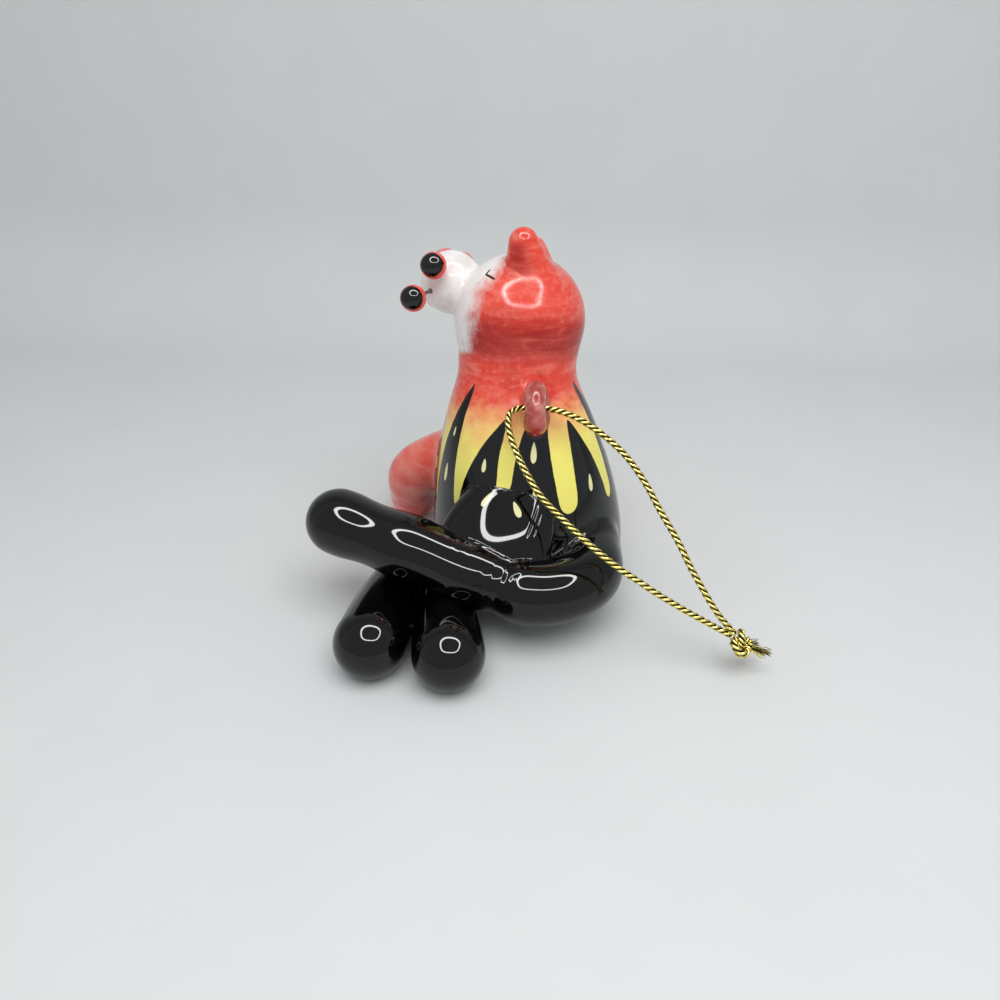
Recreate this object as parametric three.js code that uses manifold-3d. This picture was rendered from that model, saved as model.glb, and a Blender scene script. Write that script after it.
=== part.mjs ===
// A seated clay cat to hang on a tree: lumps and rolled coils of glazed clay, beaded wire whiskers
// and a loop of cord through an eye on its back. Millimetres and degrees, +Z up.
// The origin is the middle of the flat base. The back of the cat is towards -Y, and its head is
// turned to its left, towards -X.
import * as THREE from "three";
import { mergeVertices } from "three/addons/utils/BufferGeometryUtils.js";
import Module from "manifold-3d";

const wasm = await Module();
wasm.setup();

// Clearances
const seam = 0.3; // slip joint between two lumps of clay
const wireClearance = 0.3; // round a whisker in its hole
const cordClearance = 0.3; // between the knot and the ends of the cord

// Torso
const baseRadius = 18.2;
const torsoRadius = 20.5;
const torsoWidest = 8; // height of the widest place
const shoulderLength = 10; // length of the slope below the neck
const shoulderSlope = 0.45; // narrowing per millimetre there
const neckRadius = 11.5;
const neckHeight = 46;
const neckLeft = 3.6; // lean of the neck off the middle of the base
const neckForward = 5;

// Head
const headRadius = 12.9;
const headRise = 8.2; // from the neck to the widest place of the head
const crownRise = 12.6; // from there to the crown

// Face: turned, lifted and tilted from looking along +X
const faceTurn = 163.5;
const faceLift = 22.5;
const faceTilt = 19.5;

// Ears: root and tip from the middle of the head, in head radii forward, left and up of the face
const earRoot = new THREE.Vector3(0.11, 0.53, 0.54);
const earTip = new THREE.Vector3(0.44, 0.64, 1.06);
const earRootRadius = 5.6;
const earTipRadius = 2.5;

// Muzzle and nose
const muzzleRadius = 6.1;
const muzzleOut = 2.5; // its middle lies this far outside the round of the head
const noseRadius = 1.9;
const noseLift = 48; // above straight ahead
const noseSink = 0.6;

// Whiskers: where each wire points, as forward, left and up of the face, and its bare length
const wireRadius = 0.4;
const wireSet = 3; // depth in the muzzle
const beadRadius = 2.5;
const beadBore = 3; // depth of the hole in a bead
const whiskers = {
  left_upper: { towards: new THREE.Vector3(2.4, 8.8, 1.5), bare: 0.7 },
  left_lower: { towards: new THREE.Vector3(3.3, 8.8, -5.6), bare: 2.3 },
  right_upper: { towards: new THREE.Vector3(1.4, -8.8, 3.8), bare: 1.1 },
  right_lower: { towards: new THREE.Vector3(3.3, -8.8, -4.6), bare: 1.9 },
};

// Rolled limbs
const frontLegRadius = 6;
const frontElbowHeight = 16.4;
const shoulderHeight = 27.4;
const pawReach = 14.1; // from the widest round of the torso to the middle of a front paw
const frontLegs = {
  left_front_leg: { turn: 143, twist: 20 }, // where the paw stands, and the shoulder's turn from there
  right_front_leg: { turn: 82, twist: -16 },
};
const hindFootRadius = 6.7;
const hindAnkleRadius = 5.8;
const rightFootReach = 20; // from the widest round of the torso to the end of a hind foot
const leftFootReach = 25.3;
const tailRadius = 6.3;
const tailOverAnkles = 0.8; // from the tops of the ankles up to the middle of the tail
const tailTipRise = 8.2; // of the tip above the rest of the tail
const tailTipReach = 20.3; // from the widest round of the torso to the tip
const limbRoot = 4; // depth of a limb's root inside that round
const pressed = 0.4; // a limb is flattened by this where it stands on the table

// Haunch
const haunchLength = 32;
const haunchWidth = 22;
const haunchThick = 18;
const haunchTurn = -118; // where its middle lies round the torso
const haunchHeight = 16.7;
const haunchFacing = -142; // turn of its broad side
const haunchTilt = 35; // of that side, up from level
const haunchSlope = 82; // of its length on that side

// Hanging eye
const eyeCoilRadius = 1.9;
const eyeHoleRadius = 1.4;
const eyeStandoff = 1.9; // from the back to the middle of the hole
const eyeUpFlank = 0.808; // share of the way up the flank
const eyeTurn = 14.5; // to the right of the middle of the back
const eyeFacing = -4; // turn of the arch itself

// Cord: a loop from the knot, through the eye and back
const cordRadius = 0.7;
const knotRadius = 1.5; // of the ring that the knot winds round
const knotPlace = new THREE.Vector3(38.6, -33.5, 6.6);
const cordEndLength = 3;
const cordEndRadius = 1.1; // of the frayed tip
const cordRoute = [
  [35.9, -33.2, 8.7],
  [31.1, -32.7, 11.3],
  [26.7, -32, 13.6],
  [22.5, -31.2, 15.9],
  [18.6, -30.2, 18.2],
  [15.3, -29.2, 20],
  [12, -28, 22.1],
  [8.6, -26.5, 24.5],
  [5.3, -24.8, 27],
  [1.1, -22, 30.2],
  [-1, -20.2, 32.7],
  [-2.6, -18.5, 35],
  [-4, -16.8, 37.4],
  [-4.9, -15.2, 39.3],
  [-5.3, -13.6, 41.1],
  [-5, -12.3, 42.4],
  [-3.6, -11.5, 43],
  [-0.2, -11.35, 43.1],
  [3.7, -11.5, 42.8],
  [7.7, -12, 41.4],
  [12.2, -13.2, 38.9],
  [16.4, -15.2, 35.8],
  [20.1, -18.2, 31.8],
  [23.1, -21.4, 27.4],
  [26.2, -24.6, 23.2],
  [28.6, -27.5, 19.3],
  [31.6, -30.5, 15],
  [33.8, -32.2, 12.2],
  [36.6, -33.3, 9.3],
];

// Facets
const latheSides = 30;
const limbSides = 14;
const ballSides = 16;
const wireSides = 8;
const profileSteps = 8;
const capSteps = 4;
const coilStep = 3.6; // length of one step along a limb
const cordSteps = 48;

// Colours
const coralRed = 0xd9452f;
const black = 0x0b0b0c;
const white = 0xece8e2;
const pink = 0xd8564f;
const wireGrey = 0x9a958c;
const gold = 0xc9a640;
const glaze = (color) => new THREE.MeshStandardMaterial({ color, roughness: 0.12, metalness: 0 });
const metal = (color) => new THREE.MeshStandardMaterial({ color, roughness: 0.35, metalness: 1 });

const radians = THREE.MathUtils.degToRad;
const upright = new THREE.Vector3(0, 0, 1);
const lengthwise = new THREE.Vector3(0, 1, 0); // axis of a three.js cylinder
const cat = new THREE.Group();

// Solids for cutting

function solidOf(geometry) {
  const bare = geometry.clone();
  bare.deleteAttribute("normal");
  bare.deleteAttribute("uv");
  const merged = mergeVertices(bare, 1e-4);
  return new wasm.Manifold(
    new wasm.Mesh({
      numProp: 3,
      vertProperties: merged.attributes.position.array,
      triVerts: new Uint32Array(merged.index.array),
    }),
  );
}

function geometryOf(solid) {
  const mesh = solid.getMesh();
  return new THREE.BufferGeometry()
    .setAttribute("position", new THREE.BufferAttribute(mesh.vertProperties, 3))
    .setIndex(new THREE.BufferAttribute(mesh.triVerts, 1));
}

// The solid of a shape where its group puts it
function placedSolid(group, geometry) {
  group.updateWorldMatrix(true, false);
  return solidOf(geometry.clone().applyMatrix4(group.matrixWorld));
}

// Adds a piece to its group, cut clear of the placed solids that it meets
function addPiece(group, name, geometry, material, neighbours = []) {
  let shape = geometry;
  if (neighbours.length > 0) {
    const whole = placedSolid(group, geometry);
    const cut = neighbours.reduce((rest, solid) => rest.subtract(solid), whole);
    shape = geometryOf(cut).applyMatrix4(group.matrixWorld.clone().invert());
  }
  shape.computeVertexNormals();
  const mesh = new THREE.Mesh(shape, material);
  mesh.name = name;
  group.add(mesh);
}

// Shapes: those that others are cut by can be made larger all round by grow

// A profile turned round +Z: its points give radius and height
function turned(profile, sides) {
  return new THREE.LatheGeometry(profile, sides).rotateX(Math.PI / 2);
}

// A clay coil along a curve, half-round at both ends and flat on the table; radiusAt takes 0 to 1
function rolled(curve, radiusAt, grow = 0) {
  const steps = Math.round(curve.getLength() / coilStep);
  const frames = curve.computeFrenetFrames(steps);
  const rings = [];
  for (let k = 0; k < capSteps; k++) {
    const angle = (k / capSteps) * (Math.PI / 2);
    rings.push({ frame: 0, along: -Math.cos(angle), across: Math.sin(angle) });
  }
  for (let k = 0; k <= steps; k++) {
    rings.push({ frame: k, along: 0, across: 1 });
  }
  for (let k = 1; k <= capSteps; k++) {
    const angle = (k / capSteps) * (Math.PI / 2);
    rings.push({ frame: steps, along: Math.sin(angle), across: Math.cos(angle) });
  }
  const points = [];
  for (const { frame, along, across } of rings) {
    const radius = radiusAt(frame / steps) + grow;
    const centre = curve.getPointAt(frame / steps);
    centre.addScaledVector(frames.tangents[frame], along * radius);
    for (let j = 0; j < limbSides; j++) {
      const angle = (j / limbSides) * 2 * Math.PI;
      const point = centre.clone();
      point.addScaledVector(frames.normals[frame], across * radius * Math.cos(angle));
      point.addScaledVector(frames.binormals[frame], across * radius * Math.sin(angle));
      points.push(point.x, point.y, Math.max(point.z, -grow));
    }
  }
  const faces = [];
  for (let k = 0; k + 1 < rings.length; k++) {
    for (let j = 0; j < limbSides; j++) {
      const a = k * limbSides + j;
      const b = k * limbSides + ((j + 1) % limbSides);
      faces.push(a, b, a + limbSides, b, b + limbSides, a + limbSides);
    }
  }
  const geometry = new THREE.BufferGeometry();
  geometry.setAttribute("position", new THREE.Float32BufferAttribute(points, 3));
  geometry.setIndex(faces);
  return geometry;
}

// A round rod along a curve, cut square at both ends
function rod(curve, radius, steps, sides) {
  const section = new THREE.Shape().absarc(0, 0, radius, 0, 2 * Math.PI);
  return new THREE.ExtrudeGeometry(section, {
    steps,
    curveSegments: sides / 2,
    bevelEnabled: false,
    extrudePath: curve,
  });
}

// A cylinder or cone that points along a direction, from start to end along it
function pointed(towards, start, end, startRadius, endRadius) {
  const along = towards.clone().normalize();
  const geometry = new THREE.CylinderGeometry(endRadius, startRadius, end - start, wireSides);
  geometry.applyQuaternion(new THREE.Quaternion().setFromUnitVectors(lengthwise, along));
  const middle = along.multiplyScalar((start + end) / 2);
  return geometry.translate(middle.x, middle.y, middle.z);
}

// Torso: a profile turned round a spine that leans from the base to the neck

const spine = new THREE.CubicBezierCurve3(
  new THREE.Vector3(0, 0, 0),
  new THREE.Vector3(0, 0, neckHeight * 0.32),
  new THREE.Vector3(-neckLeft * 1.1, neckForward * 0.35, neckHeight * 0.68),
  new THREE.Vector3(-neckLeft, neckForward, neckHeight),
);
const spineLength = spine.getLength();

// Where the spine is at a height along it, and the turn that lays +Z along it there
function spinePlace(height) {
  const at = THREE.MathUtils.clamp(height / spineLength, 0, 1);
  const tangent = spine.getTangentAt(at);
  return {
    centre: spine.getPointAt(at).addScaledVector(tangent, height - at * spineLength),
    turn: new THREE.Quaternion().setFromUnitVectors(upright, tangent),
  };
}

// The side of the torso from its widest place to the neck
function torsoFlank(grow) {
  return new THREE.CubicBezierCurve(
    new THREE.Vector2(torsoRadius + grow, torsoWidest),
    new THREE.Vector2(torsoRadius + grow, torsoWidest + shoulderLength),
    new THREE.Vector2(neckRadius + shoulderLength * shoulderSlope + grow, spineLength - shoulderLength),
    new THREE.Vector2(neckRadius + grow, spineLength - seam / 2 + grow),
  );
}

function torsoShape(grow = 0) {
  const edge = new THREE.QuadraticBezierCurve(
    new THREE.Vector2(baseRadius + grow, -grow),
    new THREE.Vector2(torsoRadius + grow, -grow),
    new THREE.Vector2(torsoRadius + grow, torsoWidest),
  );
  const flank = torsoFlank(grow).getPoints(profileSteps);
  const profile = [
    new THREE.Vector2(0, -grow),
    ...edge.getPoints(profileSteps / 2),
    ...flank.slice(1),
    new THREE.Vector2(0, flank.at(-1).y),
  ];
  const geometry = turned(profile, latheSides);
  const vertices = geometry.getAttribute("position");
  for (let i = 0; i < vertices.count; i++) {
    const point = new THREE.Vector3().fromBufferAttribute(vertices, i);
    const { centre, turn } = spinePlace(point.z);
    point.setZ(0).applyQuaternion(turn).add(centre);
    vertices.setXYZ(i, point.x, point.y, point.z);
  }
  return geometry;
}

addPiece(cat, "torso", torsoShape(), glaze(coralRed));
const nearTorso = solidOf(torsoShape(seam));

// Head: turned round the line of the neck

const neck = spinePlace(spineLength);
const headGroup = new THREE.Group();
headGroup.position.copy(neck.centre);
headGroup.quaternion.copy(neck.turn);
cat.add(headGroup);

function headShape(grow = 0) {
  const jowl = new THREE.QuadraticBezierCurve(
    new THREE.Vector2(neckRadius + grow, seam / 2 - grow),
    new THREE.Vector2(headRadius + grow, headRise / 2),
    new THREE.Vector2(headRadius + grow, headRise),
  );
  const crown = new THREE.EllipseCurve(0, headRise, headRadius + grow, crownRise + grow, 0, Math.PI / 2);
  const profile = [
    new THREE.Vector2(0, seam / 2 - grow),
    ...jowl.getPoints(profileSteps / 2),
    ...crown.getPoints(profileSteps).slice(1, -1),
    new THREE.Vector2(0, headRise + crownRise + grow),
  ];
  return turned(profile, latheSides);
}

addPiece(headGroup, "head", headShape(), glaze(coralRed));
const nearHead = placedSolid(headGroup, headShape(seam));

// Face: from the middle of the head, +X is forward, +Y the cat's left and +Z up

const faceGroup = new THREE.Group();
faceGroup.position.set(0, 0, headRise);
const gaze = new THREE.Euler(radians(faceTilt), radians(-faceLift), radians(faceTurn), "ZYX");
faceGroup.quaternion.setFromEuler(gaze).premultiply(headGroup.quaternion.clone().invert());
headGroup.add(faceGroup);

// Ears: cones drawn up from the head

function earShape(length) {
  const side = new THREE.QuadraticBezierCurve(
    new THREE.Vector2(earRootRadius, 0),
    new THREE.Vector2((earRootRadius + earTipRadius) * 0.47, length / 2),
    new THREE.Vector2(earTipRadius, length),
  );
  const tip = new THREE.EllipseCurve(0, length, earTipRadius, earTipRadius, 0, Math.PI / 2);
  const profile = [
    new THREE.Vector2(0, 0),
    ...side.getPoints(profileSteps / 2),
    ...tip.getPoints(capSteps).slice(1, -1),
    new THREE.Vector2(0, length + earTipRadius),
  ];
  return turned(profile, ballSides);
}

for (const [name, side] of [["left_ear", 1], ["right_ear", -1]]) {
  const mirrored = new THREE.Vector3(1, side, 1).multiplyScalar(headRadius);
  const root = earRoot.clone().multiply(mirrored);
  const reach = earTip.clone().multiply(mirrored).sub(root);
  const length = reach.length();
  const earGroup = new THREE.Group();
  earGroup.position.copy(root);
  earGroup.quaternion.setFromUnitVectors(upright, reach.normalize());
  faceGroup.add(earGroup);
  addPiece(earGroup, name, earShape(length), glaze(coralRed), [nearHead]);
}

// Whiskers: a wire let into the muzzle, with a bead on its end

const muzzleGroup = new THREE.Group();
muzzleGroup.position.set(headRadius + muzzleOut, 0, 0);
faceGroup.add(muzzleGroup);

const whiskerHoles = [];
for (const [name, { towards, bare }] of Object.entries(whiskers)) {
  const start = muzzleRadius - wireSet;
  const beadStart = muzzleRadius + bare;
  const end = beadStart + beadBore;
  const wire = pointed(towards, start, end, wireRadius, wireRadius);
  addPiece(muzzleGroup, name + "_whisker", wire, metal(wireGrey));
  const holeRadius = wireRadius + wireClearance;
  const hole = pointed(towards, start - wireClearance, end + wireClearance, holeRadius, holeRadius);
  const holeSolid = placedSolid(muzzleGroup, hole);
  whiskerHoles.push(holeSolid);
  const place = towards.clone().setLength(beadStart + beadRadius);
  const ball = new THREE.SphereGeometry(beadRadius, ballSides, ballSides / 2);
  ball.translate(place.x, place.y, place.z);
  addPiece(muzzleGroup, name + "_bead", ball, glaze(black), [holeSolid]);
}

// Muzzle and nose

function muzzleShape(grow = 0) {
  return new THREE.SphereGeometry(muzzleRadius + grow, ballSides, ballSides - 4);
}

addPiece(muzzleGroup, "muzzle", muzzleShape(), glaze(white), [nearHead, ...whiskerHoles]);
const nearMuzzle = placedSolid(muzzleGroup, muzzleShape(seam));

const noseGroup = new THREE.Group();
const noseReach = muzzleRadius - noseSink;
noseGroup.position.set(noseReach * Math.cos(radians(noseLift)), 0, noseReach * Math.sin(radians(noseLift)));
muzzleGroup.add(noseGroup);
const noseBall = new THREE.SphereGeometry(noseRadius, ballSides, ballSides / 2);
addPiece(noseGroup, "nose", noseBall, glaze(pink), [nearMuzzle]);

// A point by the torso: degrees round it from +X, distance outside its widest radius, height
function around(turn, outside, height) {
  const reach = torsoRadius + outside;
  return new THREE.Vector3(reach * Math.cos(radians(turn)), reach * Math.sin(radians(turn)), height);
}

// A radius that runs smoothly from the inner half of a limb to its end
function swelling(inner, end) {
  return (at) => THREE.MathUtils.lerp(inner, end, THREE.MathUtils.smoothstep(at, 0.4, 1));
}

// Tail: rooted in the right flank, laid round the back, its tip raised past the left side

const ankleHeight = hindAnkleRadius - pressed;
const tailHeight = ankleHeight + hindAnkleRadius + tailOverAnkles;
const tailLine = new THREE.CatmullRomCurve3([
  around(-42, -limbRoot, tailHeight),
  around(-61, tailRadius * 0.41, tailHeight),
  around(-76, tailRadius * 0.83, tailHeight),
  around(-92, tailRadius * 0.92, tailHeight),
  around(-113, tailRadius * 0.84, tailHeight + tailTipRise * 0.2),
  around(-134, tailTipReach * 0.46, tailHeight + tailTipRise * 0.6),
  around(-157, tailTipReach, tailHeight + tailTipRise),
]);
const tailShape = (grow = 0) => rolled(tailLine, swelling(tailRadius, tailRadius), grow);

addPiece(cat, "tail", tailShape(), glaze(black), [nearTorso]);
const nearTail = solidOf(tailShape(seam));

// Haunch: a lump on the left of the back, laid in between the torso and the tail

const haunchGroup = new THREE.Group();
haunchGroup.position.copy(around(haunchTurn, 0, haunchHeight));
haunchGroup.rotation.set(radians(-haunchTilt), radians(-haunchSlope), radians(haunchFacing + 90), "ZXY");
cat.add(haunchGroup);

const haunchBall = new THREE.SphereGeometry(0.5, ballSides + 4, ballSides);
haunchBall.scale(haunchLength, haunchThick, haunchWidth);
const underTail = new THREE.BoxGeometry(8 * torsoRadius, 8 * torsoRadius, tailHeight);
const belowTail = solidOf(underTail.translate(0, 0, tailHeight / 2));
addPiece(haunchGroup, "left_haunch", haunchBall, glaze(black), [nearTorso, nearTail, belowTail]);

// Hind feet: two coils side by side that come out under the tail

const footHeight = hindFootRadius - pressed;
const footSwell = swelling(hindAnkleRadius, hindFootRadius);
const rightFootLine = new THREE.CatmullRomCurve3([
  around(-150, -limbRoot, ankleHeight),
  around(-133, rightFootReach * 0.22, ankleHeight),
  around(-112, rightFootReach, footHeight),
]);
const leftFootLine = new THREE.CatmullRomCurve3([
  around(-178, -limbRoot, ankleHeight),
  around(-149, leftFootReach * 0.4, ankleHeight),
  around(-130.5, leftFootReach, footHeight),
]);
const nearRightFoot = solidOf(rolled(rightFootLine, footSwell, seam));
const overFeet = [nearTorso, nearTail];
addPiece(cat, "right_hind_foot", rolled(rightFootLine, footSwell), glaze(black), overFeet);
addPiece(cat, "left_hind_foot", rolled(leftFootLine, footSwell), glaze(black), [...overFeet, nearRightFoot]);

// Front legs: out from the shoulder and down to the table

for (const [name, { turn, twist }] of Object.entries(frontLegs)) {
  const line = new THREE.CatmullRomCurve3([
    around(turn + twist, -2 * limbRoot, shoulderHeight),
    around(turn + twist * 0.6, pawReach * 0.54, frontElbowHeight),
    around(turn, pawReach, frontLegRadius - pressed),
  ]);
  addPiece(cat, name, rolled(line, swelling(frontLegRadius, frontLegRadius)), glaze(coralRed), [nearTorso]);
}

// Hanging eye: +X of its group runs through the hole, +Y up the back and +Z out of it

const backwards = (turn) => new THREE.Vector3(0, -1, 0).applyAxisAngle(upright, radians(turn));
const eyeFoot = torsoFlank(0).getPoint(eyeUpFlank); // radius and height
const eyeRun = torsoFlank(0).getTangent(eyeUpFlank);
const eyeUp = backwards(eyeFacing).multiplyScalar(eyeRun.x).setZ(eyeRun.y);
const eyeOut = backwards(eyeFacing).multiplyScalar(eyeRun.y).setZ(-eyeRun.x);
const eyeAcross = new THREE.Vector3().crossVectors(eyeUp, eyeOut);
const eyeAxes = new THREE.Matrix4().makeBasis(eyeAcross, eyeUp, eyeOut);
const eyePlace = spinePlace(eyeFoot.y);
const eyeGroup = new THREE.Group();
eyeGroup.quaternion.setFromRotationMatrix(eyeAxes).premultiply(eyePlace.turn);
eyeGroup.position.copy(backwards(eyeTurn)).multiplyScalar(eyeFoot.x);
eyeGroup.position.addScaledVector(eyeOut, eyeStandoff);
eyeGroup.position.applyQuaternion(eyePlace.turn).add(eyePlace.centre);
cat.add(eyeGroup);

const archRadius = eyeHoleRadius + eyeCoilRadius;
const archPoints = [];
for (let turn = -120; turn <= 120; turn += 40) {
  const point = new THREE.Vector3(0, Math.sin(radians(turn)), Math.cos(radians(turn)));
  archPoints.push(point.multiplyScalar(archRadius));
}
const arch = new THREE.CatmullRomCurve3(archPoints);
addPiece(eyeGroup, "hanging_eye", rod(arch, eyeCoilRadius, 14, 12), glaze(coralRed), [nearTorso, nearHead]);

// Cord, its knot and its two frayed ends

const cordLine = new THREE.CatmullRomCurve3(cordRoute.map((place) => new THREE.Vector3(...place)));
addPiece(cat, "cord_loop", rod(cordLine, cordRadius, cordSteps, wireSides), metal(gold));

const knotGroup = new THREE.Group();
knotGroup.position.copy(knotPlace);
cat.add(knotGroup);
const knot = new THREE.TorusKnotGeometry(knotRadius, cordRadius, cordSteps, wireSides, 2, 3);
addPiece(knotGroup, "cord_knot", knot.rotateX(0.5).rotateY(0.9), metal(gold));

const cordEnds = {
  cord_end_a: new THREE.Vector3(0.85, -0.1, -0.3),
  cord_end_b: new THREE.Vector3(0.7, 0.5, -0.45),
};
const endStart = 1.5 * knotRadius + cordRadius + cordClearance / 2;
for (const [name, towards] of Object.entries(cordEnds)) {
  const end = pointed(towards, endStart, endStart + cordEndLength, cordRadius, cordEndRadius);
  addPiece(knotGroup, name, end, metal(gold));
}

export default cat;
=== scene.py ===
# A seated clay cat to hang on a tree, seen from behind, with its gold cord laid out beside it.
# Shapes are worked out in millimetres, and go into the meshes in metres.
import bpy
import numpy as np
from math import comb, pi, radians
from mathutils import Matrix


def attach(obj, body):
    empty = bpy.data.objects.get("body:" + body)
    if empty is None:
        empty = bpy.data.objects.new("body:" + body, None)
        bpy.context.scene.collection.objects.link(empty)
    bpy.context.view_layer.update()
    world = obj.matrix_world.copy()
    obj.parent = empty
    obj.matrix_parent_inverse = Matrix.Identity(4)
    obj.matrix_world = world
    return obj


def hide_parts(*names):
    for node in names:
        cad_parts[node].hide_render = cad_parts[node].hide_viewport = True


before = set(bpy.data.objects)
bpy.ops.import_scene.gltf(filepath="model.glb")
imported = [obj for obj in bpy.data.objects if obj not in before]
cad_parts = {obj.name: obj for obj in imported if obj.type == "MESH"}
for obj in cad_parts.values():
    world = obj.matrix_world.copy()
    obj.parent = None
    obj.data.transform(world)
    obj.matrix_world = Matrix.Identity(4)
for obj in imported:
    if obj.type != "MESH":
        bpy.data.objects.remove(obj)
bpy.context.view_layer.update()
scene = bpy.context.scene
scene.view_settings.view_transform = "Standard"
mm = 0.001

# Camera: just above the table, behind the cat
lookOut = dict(place=(-0.0065, -0.138, 0.100), down=31.25, roll=1.22, lens=26.93)
cameraData = bpy.data.cameras.new("tableCamera")
cameraData.sensor_width = 36
cameraData.lens = lookOut["lens"]
cameraData.clip_start = 0.01
camera = bpy.data.objects.new("tableCamera", cameraData)
camera.matrix_world = (
    Matrix.Translation(lookOut["place"])
    @ Matrix.Rotation(pi / 2 - radians(lookOut["down"]), 4, "X")
    @ Matrix.Rotation(radians(lookOut["roll"]), 4, "Z")
)
scene.collection.objects.link(camera)
scene.camera = camera
print("camera set")


# Tools for shapes

def unit(v):
    # each row divided by its length
    return v / np.linalg.norm(v, axis=-1, keepdims=True)


def ease(x, low, high):
    # 0 below low, 1 above high, and 3t² - 2t³ between
    t = np.clip((x - low) / (high - low), 0, 1)
    return t * t * (3 - 2 * t)


def bowed(corners, t):
    # one smooth line led by its corners: corner k of n has the weight C(n, k)·tᵏ·(1 - t)ⁿ⁻ᵏ
    n = len(corners) - 1
    shares = np.stack([comb(n, k) * t**k * (1 - t) ** (n - k) for k in range(n + 1)], -1)
    return shares @ np.asarray(corners, float)


def strides(line):
    # the lengths of the steps along a line
    return np.linalg.norm(np.diff(line, axis=0), axis=1)


def rowsAt(at, run, rows):
    # rows read off between their own places along a run
    return np.stack([np.interp(at, run, column) for column in rows.T], -1)


def evenly(points, count):
    # the same line with its points evenly spaced along its length
    run = np.r_[0, np.cumsum(strides(points))]
    return rowsAt(np.linspace(0, run[-1], count), run, points)


def handDrawn(points, count):
    # a smooth line through the points: a cubic between each two, its slopes taken from the neighbours,
    # with knots spaced by the root of the distances
    p = np.asarray(points, float)
    p = np.vstack([2 * p[0] - p[1], p, 2 * p[-1] - p[-2]])
    gap = np.sqrt(strides(p))[:, None]
    g0, g1, g2 = gap[:-2], gap[1:-1], gap[2:]
    a, b, c, d = p[:-3], p[1:-2], p[2:-1], p[3:]
    s1 = ((b - a) / g0 - (c - a) / (g0 + g1) + (c - b) / g1) * g1
    s2 = ((c - b) / g1 - (d - b) / (g1 + g2) + (d - c) / g2) * g1
    t = np.linspace(0, 1, 40, endpoint=False)[None, :, None]
    b, c, s1, s2 = (x[:, None] for x in (b, c, s1, s2))
    line = b + s1 * t + (3 * c - 3 * b - 2 * s1 - s2) * t**2 + (2 * b - 2 * c + s1 + s2) * t**3
    return evenly(np.vstack([line.reshape(-1, 3), p[-2]]), count)


def lumps(p, size):
    # dents left by the fingers: the mean of three crossed waves about size long, from -1 to 1
    q = p * (2 * pi / size)
    x, y, z = q[..., 0], q[..., 1], q[..., 2]
    return (
        np.sin(x + 0.7 * np.sin(0.8 * y + 1.3))
        + np.sin(0.9 * y + 1.1 * np.sin(0.7 * z + 0.4) + 2.1)
        + np.sin(1.1 * z + 0.9 * np.sin(0.6 * x + 2.6) + 0.5)
    ) / 3


def circle(sides, start=0.0):
    # angles spaced evenly round one turn
    return start + np.linspace(0, 2 * pi, sides, endpoint=False)


def spread(turn, across, over):
    # directions round a circle in the plane of across and over
    return np.cos(turn)[:, None] * across + np.sin(turn)[:, None] * over


def turned(profile, start, way, rim):
    # a profile of radius and height turned round a straight line
    return start + profile[:, 1, None, None] * way + profile[:, 0, None, None] * rim


def ringPlaces(count, cap):
    # the point of a line that each ring stands at, with cap rings on each end
    return np.r_[np.zeros(cap, int), np.arange(1, count - 1), np.full(cap, count - 1)]


def carried(line, radii, sides, cap=14, up=(0, 0, 1), profile=None):
    # a round profile carried along a line, with a half-round cap on each end: on a cap the ring moves
    # along by the cosine of an angle and shrinks by its sine; over leans as near to up as it can, and
    # profile(ring, turn) scales the radius
    along = unit(np.gradient(line, axis=0))
    across = unit(np.cross(along, up))
    over = np.cross(across, along)
    angle = np.linspace(0, pi / 2, cap)
    pick = ringPlaces(len(line), cap)
    shift = np.r_[-np.cos(angle) * radii[0], np.zeros(len(line) - 2), np.sin(angle) * radii[-1]]
    reach = np.r_[np.sin(angle) * radii[0], radii[1:-1], np.cos(angle) * radii[-1]]
    turn = circle(sides)
    scale = 1.0 if profile is None else profile(pick, turn)
    rim = spread(turn, across[pick][:, None], over[pick][:, None])
    centre = line[pick] + along[pick] * shift[:, None]
    return centre[:, None] + rim * (reach[:, None] * scale)[..., None]


def ball(rings, sides):
    # directions on a sphere as rings from one pole to the other
    fall, turn = np.linspace(0, pi, rings)[:, None], circle(sides)
    return np.stack([np.sin(fall) * np.cos(turn), np.sin(fall) * np.sin(turn), np.cos(fall) + 0 * turn], -1)


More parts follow.
